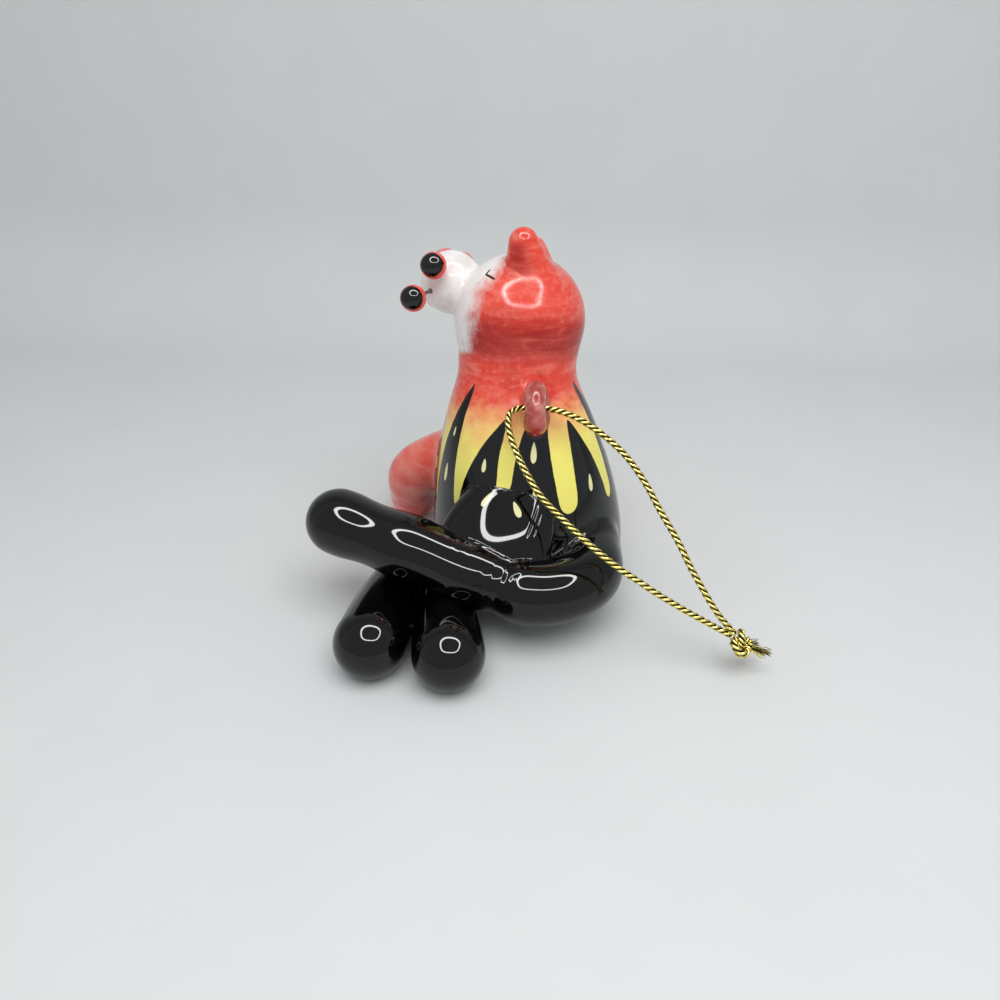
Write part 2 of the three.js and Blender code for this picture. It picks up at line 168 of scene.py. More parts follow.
def skin(name, node, rings, material, marks=None, body="cat"):
    # one closed mesh from grids of rings; the first and last ring of a grid are drawn into one point
    grids = rings[None] if rings.ndim == 3 else rings
    pieces, n, m = grids.shape[:3]
    each = (n - 2) * m + 2

    def listed(values):
        inner = values[:, 1:-1].reshape(pieces, (n - 2) * m, -1)
        return np.concatenate([values[:, 0, :1], inner, values[:, -1, :1]], 1).reshape(pieces * each, -1)

    grid = 1 + np.arange((n - 2) * m).reshape(n - 2, m)
    after = np.roll(grid, -1, axis=1)
    quads = np.stack([grid[:-1], after[:-1], after[1:], grid[1:]], -1).reshape(-1, 4)
    pole = 0 * grid[0]
    first = np.stack([pole, after[0], grid[0]], -1)
    final = np.stack([pole + each - 1, grid[-1], after[-1]], -1)
    fans = np.vstack([first, final])
    co = listed(grids)
    c = co[:each] - co[:each].mean(0)
    inside = (c[quads[:, 0]] * np.cross(c[quads[:, 1]], c[quads[:, 2]])).sum() < 0
    if inside:
        quads, fans = quads[:, ::-1], fans[:, ::-1]
    jump = (np.arange(pieces) * each)[:, None, None]
    fans = (fans[None] + jump).reshape(-1, 3)
    quads = (quads[None] + jump).reshape(-1, 4)
    mesh = bpy.data.meshes.new(name)
    mesh.vertices.add(len(co))
    mesh.vertices.foreach_set("co", (co * mm).ravel())
    mesh.loops.add(fans.size + quads.size)
    mesh.loops.foreach_set("vertex_index", np.r_[fans.ravel(), quads.ravel()].astype(np.int32))
    mesh.polygons.add(len(fans) + len(quads))
    starts = np.r_[np.arange(len(fans)) * 3, fans.size + np.arange(len(quads)) * 4]
    mesh.polygons.foreach_set("loop_start", starts.astype(np.int32))
    mesh.update(calc_edges=True)
    mesh.validate()
    mesh.shade_smooth()
    for mark, values in (marks or {}).items():
        values = values[None] if values.ndim == 2 else values
        layer = mesh.attributes.new(mark, "FLOAT", "POINT")
        layer.data.foreach_set("value", listed(values[..., None]).ravel().astype(np.float32))
    mesh.materials.append(material)
    piece = bpy.data.objects.new(name, mesh)
    scene.collection.objects.link(piece)
    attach(piece, body)
    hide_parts(node)
    return piece


# Tools for materials

def hexColour(text):
    # an sRGB hex value as linear light
    c = np.array([int(text[k:k + 2], 16) for k in (1, 3, 5)]) / 255
    return (*np.where(c <= 0.04045, c / 12.92, ((c + 0.055) / 1.055) ** 2.4), 1)


def setInputs(node, inputs):
    # an input that is a socket is linked, a hex colour is set as linear light, any other is set as it is
    for key, value in inputs.items():
        if isinstance(value, bpy.types.NodeSocket):
            node.id_data.links.new(value, node.inputs[key])
        else:
            node.inputs[key].default_value = hexColour(value) if isinstance(value, str) else value


def addNode(tree, kind, inputs=None, out=0, **settings):
    # a node with its settings and its inputs; gives one output
    made = tree.nodes.new("ShaderNode" + kind)
    for name, value in settings.items():
        setattr(made, name, value)
    setInputs(made, inputs or {})
    return made.outputs[out]


def newFinish(name):
    # a material with one Principled shader
    material = bpy.data.materials.new(name)
    material.use_nodes = True
    return material, material.node_tree, material.node_tree.nodes["Principled BSDF"]


overPaint = dict(out=2, data_type="RGBA")  # a mix of colours: 0 is the share, 6 what is under, 7 what is over
softStep = dict(interpolation_type="SMOOTHSTEP")  # a range that starts and ends gently


def mottle(tree, size, detail, grain=0.5, low=0.0, high=1.0, least=0.0, most=1.0, **curve):
    # a mottle about size millimetres across: noise from low to high is spread from least to most
    place = addNode(tree, "TexCoord", out="Object")
    noise = addNode(tree, "TexNoise", {
        "Vector": place, "Scale": 1000 / size, "Detail": detail, "Roughness": grain})
    return addNode(tree, "MapRange", {
        "Value": noise, "From Min": low, "From Max": high, "To Min": least, "To Max": most}, **curve)


def twoTone(tree, under, over, *look, **span):
    # one colour over another in a mottle
    share = mottle(tree, *look, **span, **softStep)
    return addNode(tree, "Mix", {0: share, 6: under, 7: over}, **overPaint)


def laidOver(tree, colour, paint, value, low, high):
    # paint laid over a colour where a value rises from low to high
    share = addNode(tree, "MapRange", {"Value": value, "From Min": low, "From Max": high}, **softStep)
    return addNode(tree, "Mix", {0: share, 6: colour, 7: paint}, **overPaint)


def inked(tree, colour, mark, low, high, paint):
    # paint laid over a colour where a mark on the mesh rises from low to high
    line = addNode(tree, "Attribute", out="Fac", attribute_name=mark)
    return laidOver(tree, colour, paint, line, low, high)


def ragged(tree, mark, wander):
    # a mark on the mesh, its edge sent wandering by a mottle
    line = addNode(tree, "Attribute", out="Fac", attribute_name=mark)
    return addNode(tree, "Math", {0: line, 1: wander}, operation="ADD")


def glazed(tree, shader, colour, roughness, ior=1.5, size=3.0, height=0.01):
    # glaze over a colour: it pulls into shallow waves about size millimetres across as it melts
    place = addNode(tree, "TexCoord", out="Object")
    waves = addNode(tree, "TexNoise", {"Vector": place, "Scale": 1000 / size, "Detail": 2.0})
    bump = addNode(tree, "Bump", {"Strength": 1.0, "Distance": height * mm, "Height": waves})
    setInputs(shader, {"Base Color": colour, "Roughness": roughness, "IOR": ior, "Normal": bump})


brushwork = dict(  # colours of the coral, and the sizes of its marks in millimetres
    mid="#e94533", light="#fe9d8a", deep="#c2271d", pooledShade="#a6150a", streak=3.6, blot=9.0, sponge=1.3,
)


def coralBrush(tree):
    # coral underglaze, sponged and brushed on thin: pale where the brush ran dry, paler by a mark that is dry
    # brush and painted light, and deep where a mark lays in painted shade
    place = addNode(tree, "TexCoord", out="Object")
    slanted = addNode(tree, "Mapping", {"Vector": place, "Rotation": (0.25, 0.5, 0.3), "Scale": (1, 1, 4.5)})
    streaks = addNode(tree, "TexNoise", {
        "Vector": slanted, "Scale": 500 / brushwork["streak"], "Detail": 6.0, "Roughness": 0.62,
        "Distortion": 0.6})
    dry = addNode(tree, "MapRange", {
        "Value": streaks, "From Min": 0.42, "From Max": 0.78, "To Max": 0.5}, **softStep)
    # a mark that makes the coral paler: dry-brush mottle, with painted light lifting whole parts
    dryAndLit = addNode(tree, "Attribute", out="Fac", attribute_name="dryBrushAndLight")
    dry = addNode(tree, "Math", {0: dry, 1: dryAndLit}, operation="ADD", use_clamp=True)
    colour = addNode(tree, "Mix", {0: dry, 6: brushwork["mid"], 7: brushwork["light"]}, **overPaint)
    colour = twoTone(tree, colour, brushwork["deep"], brushwork["blot"], 4.0, 0.6, low=0.5, high=0.72, most=0.6)
    colour = twoTone(
        tree, colour, brushwork["light"], brushwork["sponge"], 3.0, 0.65, low=0.5, high=0.74, most=0.34)
    # a mark that deepens the coral along the brush streaks: painted shade on the neck under the head
    depth = addNode(tree, "Attribute", out="Fac", attribute_name="depth")
    strokes = addNode(tree, "MapRange", {
        "Value": streaks, "From Min": 0.32, "From Max": 0.7, "To Min": 1.12, "To Max": 0.55})
    deepened = addNode(tree, "Math", {0: depth, 1: strokes}, operation="MULTIPLY")
    return addNode(tree, "Mix", {0: deepened, 6: colour, 7: brushwork["pooledShade"]}, **overPaint)


# Glazed earthenware: coral underglaze under a thin clear glaze, its shine a little soft
coralGlaze, tree, shader = newFinish("coral brushed underglaze, glossed")
glazed(tree, shader, coralBrush(tree), 0.17)

# Black gloss glaze: mirror-like, with kiln dust caught in its creases and the odd lemon dab
lemonDab = dict(mark="dabEdge", low=0.02, high=0.14, paint="#f3eeb4")
blackGlaze, tree, shader = newFinish("black gloss glaze")
specks = mottle(tree, 0.9, 3.0, low=0.54, high=0.7, most=0.75, **softStep)
crease = addNode(tree, "Attribute", out="Fac", attribute_name="crease")
caught = addNode(tree, "Math", {0: specks, 1: crease}, operation="MULTIPLY")
colour = addNode(tree, "Mix", {0: caught, 6: "#030304", 7: "#4a4842"}, **overPaint)
colour = inked(tree, colour, **lemonDab)
rough = addNode(tree, "MapRange", {"Value": caught, "To Min": 0.04, "To Max": 0.55})
glazed(tree, shader, colour, rough, ior=1.45, size=5.0, height=0.008)

# Flame-painted underglaze: coral runs through orange to yellow between licks of black, all under gloss
flameGlaze, tree, shader = newFinish("flame painted underglaze, glossed")
wobble = dict(size=3.0, detail=4.0, grain=0.6)
warm = ragged(tree, "warmUp", mottle(tree, **wobble, least=-0.34, most=0.34))
colour = laidOver(tree, "#f9ee78", "#fbc478", warm, 0.0, 0.55)
colour = laidOver(tree, colour, coralBrush(tree), warm, 0.4, 0.95)
edge = ragged(tree, "lickEdge", mottle(tree, **wobble, least=-0.16, most=0.16))
blackened = addNode(tree, "MapRange", {"Value": edge, "From Min": -0.06, "From Max": 0.06}, **softStep)
colour = addNode(tree, "Mix", {0: blackened, 6: colour, 7: "#040405"}, **overPaint)
colour = inked(tree, colour, **lemonDab)
rough = addNode(tree, "MapRange", {"Value": blackened, "To Min": 0.17, "To Max": 0.06})  # black fires shinier
glazed(tree, shader, colour, rough)

# White slip face under gloss, its edge dabbed into the coral with a half dry brush; the eye is a black line
faceGlaze, tree, shader = newFinish("coral and white underglaze, glossed")
edge = ragged(tree, "white", mottle(tree, 3.4, 5.0, 0.68, least=-4.0, most=4.0))
colour = laidOver(tree, coralBrush(tree), "#f2efeb", edge, -2.6, 2.4)
colour = inked(tree, colour, "lash", 0.0, 0.12, "#0b0b0c")
glazed(tree, shader, colour, 0.17)

# White slip under gloss: nearly pure, greyer where the glaze lies thick, with painted shade darkening it round
# the wire holes
whiteGlaze, tree, shader = newFinish("white slip, glossed")
colour = twoTone(tree, "#f4f2ef", "#ddd5cf", 5.0, 4.0, low=0.42, high=0.75, most=0.7)
# painted shade in the wire holes
colour = inked(tree, colour, "hole", 0.0, 0.5, "#4a423f")
glazed(tree, shader, colour, 0.1)

# Pink underglaze on the nose, with two dark nostril dots
noseGlaze, tree, shader = newFinish("pink underglaze, glossed")
colour = twoTone(tree, "#d9646a", "#ec9a98", 1.5, 3.0, low=0.4, high=0.7)
colour = inked(tree, colour, "nostril", 0.0, 0.12, "#30191b")
setInputs(shader, {"Base Color": colour, "Roughness": 0.12, "IOR": 1.5})

# Glass-hard bead glaze: coral next to the wire, dipped in black on the outside
beadGlaze, tree, shader = newFinish("coral bead glaze dipped in black")
edge = ragged(tree, "dip", mottle(tree, 1.8, 2.0, least=-0.35, most=0.35))
colour = laidOver(tree, coralBrush(tree), "#040405", edge, -0.1, 0.1)
setInputs(shader, {"Base Color": colour, "Roughness": 0.05, "IOR": 1.5})

# Coral glaze run thin over brown clay: cloudy pink where it is milky, brown where it is thinnest
eyeGlaze, tree, shader = newFinish("thin coral glaze over brown clay")
colour = twoTone(tree, "#ab4740", "#d58a81", 2.2, 4.0, 0.6, low=0.38, high=0.66, most=0.85)
low = addNode(tree, "Attribute", out="Fac", attribute_name="low")
colour = addNode(tree, "Mix", {0: low, 6: colour, 7: "#bd3d33"}, **overPaint)
glazed(tree, shader, colour, 0.13, size=2.0)

# Drawn nickel-silver wire: grey metal with a fine grain from the drawing
whiskerWire, tree, shader = newFinish("drawn nickel silver wire")
colour = twoTone(tree, "#8f8a82", "#5d5953", 0.4, 2.0, low=0.35, high=0.7)
rough = mottle(tree, 0.4, 2.0, least=0.25, most=0.45)
setInputs(shader, {"Base Color": colour, "Roughness": rough, "Metallic": 1.0})

# Metallised thread: gold foil wound on a core, bright on the crown of a ply, with painted shade turning it
# olive in the valleys
goldCord, tree, shader = newFinish("twisted gold foil thread")
colour = twoTone(tree, "#fdf2a2", "#dcc24c", 0.35, 3.0, low=0.35, high=0.7)
# painted shade: dark olive where the plies meet
colour = inked(tree, colour, "valley", 0.3, 0.74, "#2f2808")
rough = mottle(tree, 0.35, 3.0, least=0.2, most=0.4)
setInputs(shader, {"Base Color": colour, "Roughness": rough, "Metallic": 1.0})
print("finishes mixed")


# Cord: one length from the knot, through the eye and back, of three plies twisted together
cordForm = dict(
    radius=0.64, pitch=4.0,
    route=[
        (35.9, -33.2, 8.7), (31.1, -32.7, 11.3), (26.7, -32, 13.6), (22.5, -31.2, 15.9), (18.6, -30.2, 18.2),
        (15.3, -29.2, 20), (12, -28, 22.1), (8.6, -26.5, 24.5), (5.3, -24.8, 27), (1.1, -22, 30.2),
        (-1, -20.2, 32.7), (-2.6, -18.5, 35), (-4, -16.8, 37.4), (-4.9, -15.2, 39.3), (-5.3, -13.6, 41.1),
        (-5, -12.3, 42.4), (-3.6, -11.5, 43), (-0.2, -11.35, 43.1), (3.7, -11.5, 42.8), (7.7, -12, 41.4),
        (12.2, -13.2, 38.9), (16.4, -15.2, 35.8), (20.1, -18.2, 31.8), (23.1, -21.4, 27.4),
        (26.2, -24.6, 23.2), (28.6, -27.5, 19.3), (31.6, -30.5, 15), (33.8, -32.2, 12.2), (36.6, -33.3, 9.3),
    ],
    knot=(38.6, -33.5, 6.6), knotRadius=1.5, knotCord=0.74, knotPitch=2.6,
    ends=dict(a=(0.85, -0.1, -0.3), b=(0.7, 0.5, -0.45)),
    # the threads of an end: how many, their radius, where they start off the knot's middle, where they
    # come free of it and how long they are from there
    threads=34, thread=0.085, endRoot=1.9, endFree=3.1, endLength=3.0,
)


def twisted(line, radius, pitch, sides=36, cap=4, up=(0.3, 0.2, 1)):
    # three round plies that touch, seen as one outline: a ply of radius a lies at o = 2a/√3 from the
    # middle, so at an angle w off the ply the outline is o·cos w + √(a² - o²·sin² w); it turns with
    # length; gives the rings and how far each point is off its ply, up to 1 in a valley
    spacing = strides(line).mean()
    a = 1 / (1 + 2 / np.sqrt(3))
    o = 2 * a / np.sqrt(3)
    third = 2 * pi / 3

    def offPly(pick, turn):
        twist = 2 * pi * pick * spacing / pitch
        return (turn - twist[:, None] + third / 2) % third - third / 2

    def outline(pick, turn):
        w = offPly(pick, turn)
        return o * np.cos(w) + np.sqrt(np.maximum(a * a - (o * np.sin(w)) ** 2, 0))

    rings = carried(line, np.full(len(line), radius), sides, cap, up, outline)
    # the second is where the cord's painted shade goes, darkest in the valleys
    return rings, np.abs(offPly(ringPlaces(len(line), cap), circle(sides))) / (third / 2)


def cordSkin(name, node, rings, valley):
    # a piece of the cord
    return skin(name, node, rings, goldCord, {"valley": valley}, "hanging_cord")


cordLine = handDrawn(cordForm["route"], 900)
cord = cordSkin("goldCordLoop", "cord_loop", *twisted(cordLine, cordForm["radius"], cordForm["pitch"]))

# Knot: a trefoil line, (2 + cos 3t)(cos 2t, sin 2t) across and sin 3t along, drawn up in the same cord
t = np.linspace(0.12, 2 * pi - 0.12, 420)
wide = 2 + np.cos(3 * t)
trefoil = np.stack([wide * np.cos(2 * t), wide * np.sin(2 * t), np.sin(3 * t)], -1) * cordForm["knotRadius"] / 2
tip = np.array(Matrix.Rotation(0.9, 3, "Y") @ Matrix.Rotation(0.5, 3, "X"))
knotPlace = np.array(cordForm["knot"])
knot = cordSkin("goldCordKnot", "cord_knot", *twisted(
    trefoil @ tip.T + knotPlace, cordForm["knotCord"], cordForm["knotPitch"], up=tip @ (0, 0, 1)))

# Frayed ends: threads fan out from the knot, each bent its own way by crossed waves of its number
count = cordForm["threads"]
number = np.arange(count)[:, None]
turn = number * 2.39996  # the golden angle spreads them evenly
fan = np.sqrt((number + 0.5) / count)
t = np.linspace(0, 1, 9)
out = fan * (0.55 + (0.5 + 0.35 * np.sin(number * 1.7)) * t**1.5)
length = cordForm["endLength"] * (0.72 + 0.28 * np.sin(number * 2.3 + 1))
along = cordForm["endRoot"] + (cordForm["endFree"] - cordForm["endRoot"] + length) * t
swing = 0.16 * np.sin(5 * t + number) * t
thin = cordForm["thread"] * np.array([0, 1, 1, 1, 1, 1, 1, 0.9, 0])
for name, towards in cordForm["ends"].items():
    ahead = unit(np.array(towards))
    across = unit(np.cross(ahead, (0, 0, 1)))
    over = np.cross(across, ahead)
    line = (
        knotPlace + along[..., None] * ahead
        + (out * np.cos(turn) + swing)[..., None] * across
        + (out * np.sin(turn) - swing)[..., None] * over
    )
    rings = line[:, :, None] + thin[:, None, None] * spread(circle(5), across, over)
    # painted shade on each thread of the end, a different amount on each
    valley = np.broadcast_to((number * 0.618 % 1)[..., None] * 0.8, rings.shape[:3])
    cordSkin("frayedEnd" + name.upper(), "cord_end_" + name, rings, valley)


# Clay: each lump is a field, the distance in millimetres to its own surface, below zero inside it

def meeting(a, b, k):
    # smooth union of two fields with a fillet about k wide
    h = np.clip(0.5 + 0.5 * (b - a) / k, 0, 1)
    return b + (a - b) * h - k * h * (1 - h)


def slope(field, p):
    # the unit slope of a field, from differences of 0.02 mm
    step = 0.02 * np.eye(3)
    return unit(np.stack([field(p + s) - field(p - s) for s in step], -1) + 1e-9)


def settle(rings, own, neighbours, reach):
    # each point goes out along its own lump's slope, at most reach, until it lies on the smooth union of
    # the lump and its neighbours, each with its fillet; some way past the seam it dives under the
    # neighbour's skin, deeper the further it is inside
    p = rings.reshape(-1, 3)
    near = np.any([field(p) < k + reach for field, k, past in neighbours], 0)
    start = p[near]
    way = slope(own, start)
    out = np.zeros(len(start))
    for _ in range(12):  # each time most of the way that is left
        here = start + way * out[:, None]
        mine = own(here)
        joined, dive = mine, 0 * mine
        for field, k, past in neighbours:
            other = field(here)
            joined = meeting(joined, other, k)
            dive = np.maximum(dive, mine - other - past)
        out = np.clip(out - 0.8 * (joined + dive), 0, reach)
    moved = p.copy()
    moved[near] = start + way * out[:, None]
    return moved.reshape(rings.shape)


def creases(rings, own, neighbours):
    # 1 on the seam with a neighbour, fading with the difference d of the two fields by e^-(d / 0.45)²
    mine = own(rings)
    return np.max([np.exp(-(((mine - field(rings)) / 0.45) ** 2)) for field, k, past in neighbours], 0)


def onTable(rings):
    # nothing below the table
    return np.stack([rings[..., 0], rings[..., 1], np.maximum(rings[..., 2], 0)], -1)


# how far past a seam a skin goes before it dives, in millimetres: the same paint runs on, other paint
# ends over or under its neighbour
runsOn, endsOver, endsUnder = 0.55, 0.1, -0.1
# widths of the fillets that the slip leaves in the seams
fillets = dict(
    neck=5.0, ear=2.0, muzzle=1.4, haunch=0.8, tail=2.0, tailHaunch=0.6, foot=0.7, feet=0.5, leg=1.6, eye=1.4,
)

# Torso: a profile turned round a leaning spine; overlap is how far torso and head run into each other
torsoForm = dict(
    baseRadius=18.2, radius=20.5, widest=8.0, neckRadius=10.4, shoulder=10.0, slope=0.54, overlap=3.0,
    spine=[(0, 0, 0), (0, 0, 14.72), (-3.96, 1.75, 31.28), (-3.6, 5, 46)],
)
torsoRadius, neckRadius, overlap = (torsoForm[key] for key in ("radius", "neckRadius", "overlap"))
spineLine = evenly(bowed(torsoForm["spine"], np.linspace(0, 1, 2000)), 400)
spineLength = strides(spineLine).sum()
spineRun = np.linspace(0, spineLength, 400)
spineWay = unit(np.gradient(spineLine, axis=0))


def spineAt(height):
    # the spine's middle and direction at a height along it, straight on past its ends
    held = np.clip(height, 0, spineLength)
    way = unit(rowsAt(held, spineRun, spineWay))
    return rowsAt(held, spineRun, spineLine) + way * (height - held)[..., None], way


widest, shoulder = torsoForm["widest"], torsoForm["shoulder"]
edge = bowed([(torsoForm["baseRadius"], 0), (torsoRadius, 0), (torsoRadius, widest)], np.linspace(0, 1, 60))
flank = bowed([
    (torsoRadius, widest), (torsoRadius, widest + shoulder),
    (neckRadius + shoulder * torsoForm["slope"], spineLength - shoulder), (neckRadius, spineLength),
], np.linspace(0, 1, 300))
torsoSide = np.vstack([edge, flank[1:]])
sideSlope = np.gradient(torsoSide[:, 0], torsoSide[:, 1] + np.arange(len(torsoSide)) * 1e-6)


def torsoField(p):
    # distance off the spine less the profile's radius there, squared up to the profile's slope; it runs
    # on at the same slope and ends inside the head
    height = np.clip(p[..., 2], 0, spineLength)
    for _ in range(3):
        middle, way = spineAt(height)
        height = height + ((p - middle) * way).sum(-1)
    middle, way = spineAt(height)
    off = np.linalg.norm(p - middle, axis=-1)
    lean = np.interp(height, torsoSide[:, 1], sideSlope)
    radius = np.interp(height, torsoSide[:, 1], torsoSide[:, 0])
    radius = radius - torsoForm["slope"] * np.maximum(height - spineLength, 0)
    side = (off - radius) / np.sqrt(1 + lean**2)
    return np.maximum(side, np.maximum(height - spineLength - overlap, -p[..., 2]))


# Head: a profile turned round the line of the neck, the face looking to its left
headForm = dict(radius=12.9, rise=8.2, crown=12.6, turn=163.5, lift=22.5, tilt=19.5)
headRadius, rise, crownHeight = (headForm[key] for key in ("radius", "rise", "crown"))
neckPlace = spineLine[-1]
neckWay = unit(np.array(torsoForm["spine"][3], float) - torsoForm["spine"][2])
headMiddle = neckPlace + rise * neckWay
gaze = np.array(
    Matrix.Rotation(radians(headForm["turn"]), 3, "Z")
    @ Matrix.Rotation(radians(-headForm["lift"]), 3, "Y")
    @ Matrix.Rotation(radians(headForm["tilt"]), 3, "X")
)
forward, left, top = gaze.T
jowl = bowed([(neckRadius, 0), (headRadius, rise / 2), (headRadius, rise)], np.linspace(0, 1, 60))
jowlSlope = np.gradient(jowl[:, 0], jowl[:, 1])


def headField(p):
    # below the widest place as for the torso; above it an ellipsoid, (|q| - 1) times its mean radius
    q = p - neckPlace
    height = q @ neckWay
    off = np.linalg.norm(q - height[..., None] * neckWay, axis=-1)
    lean = np.interp(height, jowl[:, 1], jowlSlope)
    radius = np.interp(height, jowl[:, 1], jowl[:, 0]) + jowlSlope[0] * np.minimum(height, 0)
    low = (off - radius) / np.sqrt(1 + lean**2)
    mean = (headRadius + crownHeight) / 2
    high = (np.hypot(off / headRadius, (height - rise) / crownHeight) - 1) * mean
    return np.maximum(np.where(height > rise, high, low), -overlap - height)


# Ears: cones drawn up from the head; root and tip in head radii forward, left and up of the face
earForm = dict(
    root=(-0.005, 0.395, 0.48), tip=(0.36, 0.7, 0.985), rootRadius=5.4, tipRadius=2.7,
    sides=dict(left=1, right=-0.86),  # share of the way to the left that each ear goes
)
earSteps = headRadius * np.array([earForm["root"], earForm["tip"]])
earEnds = {side: headMiddle + earSteps * (1, turn, 1) @ gaze.T for side, turn in earForm["sides"].items()}
earLength = np.linalg.norm(earEnds["left"][1] - earEnds["left"][0])
earLean = (earForm["rootRadius"] - earForm["tipRadius"]) / earLength  # sine of the cone's half angle
earFlank = np.sqrt(1 - earLean**2)


def earField(side):
    # two balls and the cone that touches both, measured square to the cone's side
    root, tip = earEnds[side]
    way = (tip - root) / earLength

    def field(p):
        height = (p - root) @ way
        off = np.linalg.norm(p - root - height[..., None] * way, axis=-1)
        along = earFlank * height - earLean * off
        cone = earFlank * off + earLean * height - earForm["rootRadius"]
        low = np.hypot(off, height) - earForm["rootRadius"]
        high = np.hypot(off, height - earLength) - earForm["tipRadius"]
        return np.where(along < 0, low, np.where(along > earFlank * earLength, high, cone))
    return field


earFields = {side: earField(side) for side in earEnds}

# Muzzle: a ball of clay on the face
muzzleForm = dict(radius=6.1, out=2.5)
muzzleRadius = muzzleForm["radius"]
muzzleMiddle = headMiddle + forward * (headRadius + muzzleForm["out"])


def muzzleField(p):
    # a ball
    return np.linalg.norm(p - muzzleMiddle, axis=-1) - muzzleRadius


def around(turn, outside, height):
    # degrees round the torso from +X, distance outside its widest radius, height
    reach = torsoRadius + outside
    return (reach * np.cos(radians(turn)), reach * np.sin(radians(turn)), height)


def coilField(line, radii):
    # distance to the nearest of short straight runs along the coil, less the radius there
    pick = np.linspace(0, len(line) - 1, 36).round().astype(int)
    a, r = line[pick][:-1], radii[pick][:-1]
    run, swell = np.diff(line[pick], axis=0), np.diff(radii[pick])

    def field(p):
        q = p[..., None, :] - a
        t = np.clip((q * run).sum(-1) / (run**2).sum(-1), 0, 1)
        return (np.linalg.norm(q - t[..., None] * run, axis=-1) - r - swell * t).min(-1)
    return field


# Rolled coils: tail, hind feet and front legs
coilForm = dict(
    tail=6.3, ankle=5.8, foot=6.7, leg=6.0, root=4.0, pressed=0.4, tipRise=8.2, tipReach=20.3,
    legReach=14.1, legRoot=27.4, legBend=16.4,
    # degrees round the torso and distance outside it at a foot's root, ankle and toe
    feet=dict(
        right=[(-150, -4.0), (-133, 4.4), (-112, 20)], left=[(-178, -4.0), (-149, 10.12), (-130.5, 25.3)],
    ),
    legs=dict(left=(143, 20), right=(82, -16)),  # degrees round the torso, and on from there to the root
)
ankleHeight = coilForm["ankle"] - coilForm["pressed"]
footHeight = coilForm["foot"] - coilForm["pressed"]
legHeight = coilForm["leg"] - coilForm["pressed"]
tailHeight = ankleHeight + coilForm["ankle"] + 0.8

# Haunch: a lump on the left of the back, between the torso and the tail, level underneath
haunchForm = dict(
    length=31.0, width=22.0, proud=5.0, deep=8.0, middle=(-7.65, -19.9, 17.3), facing=-95.7, tilt=38.9,
    slope=70.3, level=16.0,
)
haunchMiddle = np.array(haunchForm["middle"])
haunchAxes = np.array(
    Matrix.Rotation(radians(haunchForm["facing"] + 90), 3, "Z")
    @ Matrix.Rotation(radians(-haunchForm["tilt"]), 3, "X")
    @ Matrix.Rotation(radians(-haunchForm["slope"]), 3, "Y")
)


def haunchField(p):
    # two half ellipsoids, flatter where it stands proud: |q|(|q| - 1) over the length of its slope, q the
    # point in units of the half sizes
    q = (p - haunchMiddle) @ haunchAxes
    thick = np.where(q[..., 1] < 0, haunchForm["proud"], haunchForm["deep"])
    sizes = np.stack([haunchForm["length"] / 2 + 0 * thick, thick, haunchForm["width"] / 2 + 0 * thick], -1)
    q = q / sizes
    size = np.linalg.norm(q, axis=-1)
    lump = size * (size - 1) / np.maximum(np.linalg.norm(q / sizes, axis=-1), 1e-6)
    return np.maximum(lump, haunchForm["level"] - p[..., 2])


tail, tipRise, tipReach = (coilForm[key] for key in ("tail", "tipRise", "tipReach"))
tailLine = handDrawn([
    around(-42, -coilForm["root"], tailHeight),
    around(-61, tail * 0.41, tailHeight),
    around(-76, tail * 0.83, tailHeight),
    around(-92, tail * 0.92, tailHeight),
    around(-113, tail * 0.84, tailHeight + tipRise * 0.2),
    around(-134, tipReach * 0.46, tailHeight + tipRise * 0.6),
    around(-157, tipReach, tailHeight + tipRise),
], 320)
tailAt = np.linspace(0, 1, 320)
# rolling left it thick and thin by turns: its radius goes by 1 + swell·cos(2π(share - crest) / period),
# less a dent
tailRolls = dict(swell=0.042, crest=0.558, period=0.2135, dent=0.07, dentAt=0.445, dentWide=0.032)
rolled = np.cos(2 * pi * (tailAt - tailRolls["crest"]) / tailRolls["period"]) * ease(tailAt, 0.3, 0.45)
dented = np.exp(-(((tailAt - tailRolls["dentAt"]) / tailRolls["dentWide"]) ** 2))
tailRadii = tail * (1 + tailRolls["swell"] * rolled - tailRolls["dent"] * dented)
tailField = coilField(tailLine, tailRadii)
footLines = {
    side: handDrawn([
        around(turn, out, high) for (turn, out), high in zip(steps, (ankleHeight, ankleHeight, footHeight))
    ], 150)
    for side, steps in coilForm["feet"].items()
}
footRadii = coilForm["ankle"] + (coilForm["foot"] - coilForm["ankle"]) * ease(np.linspace(0, 1, 150), 0.4, 1)
footFields = {side: coilField(line, footRadii) for side, line in footLines.items()}
legLines = {
    side: handDrawn([
        around(turn + twist, -2 * coilForm["root"], coilForm["legRoot"]),
        around(turn + 0.6 * twist, coilForm["legReach"] * 0.54, coilForm["legBend"]),
        around(turn, coilForm["legReach"], legHeight),
    ], 240)
    for side, (turn, twist) in coilForm["legs"].items()
}
legRadii = np.full(240, coilForm["leg"])
legFields = {side: coilField(line, legRadii) for side, line in legLines.items()}

# Hanging eye: a small arch of coil on the back, its hole running across
eyeForm = dict(
    middle=(-0.21, -11.34, 43.04), across=(0.996, -0.064, 0.059), out=(-0.085, -0.868, 0.489),
    coil=1.9, hole=1.4, half=152,  # half is half the arch, in degrees
)
eyeMiddle = np.array(eyeForm["middle"])
eyeOut = unit(np.array(eyeForm["out"]))
eyeUp = unit(np.cross(eyeOut, eyeForm["across"]))
turn = np.radians(np.linspace(-eyeForm["half"], eyeForm["half"], 160))
archLine = eyeMiddle + (eyeForm["hole"] + eyeForm["coil"]) * spread(turn, eyeOut, eyeUp)
archRadii = eyeForm["coil"] * (1 + 0.12 * ease(np.abs(turn), 1.7, 2.6))
eyeField = coilField(archLine, archRadii)
print("clay rolled")


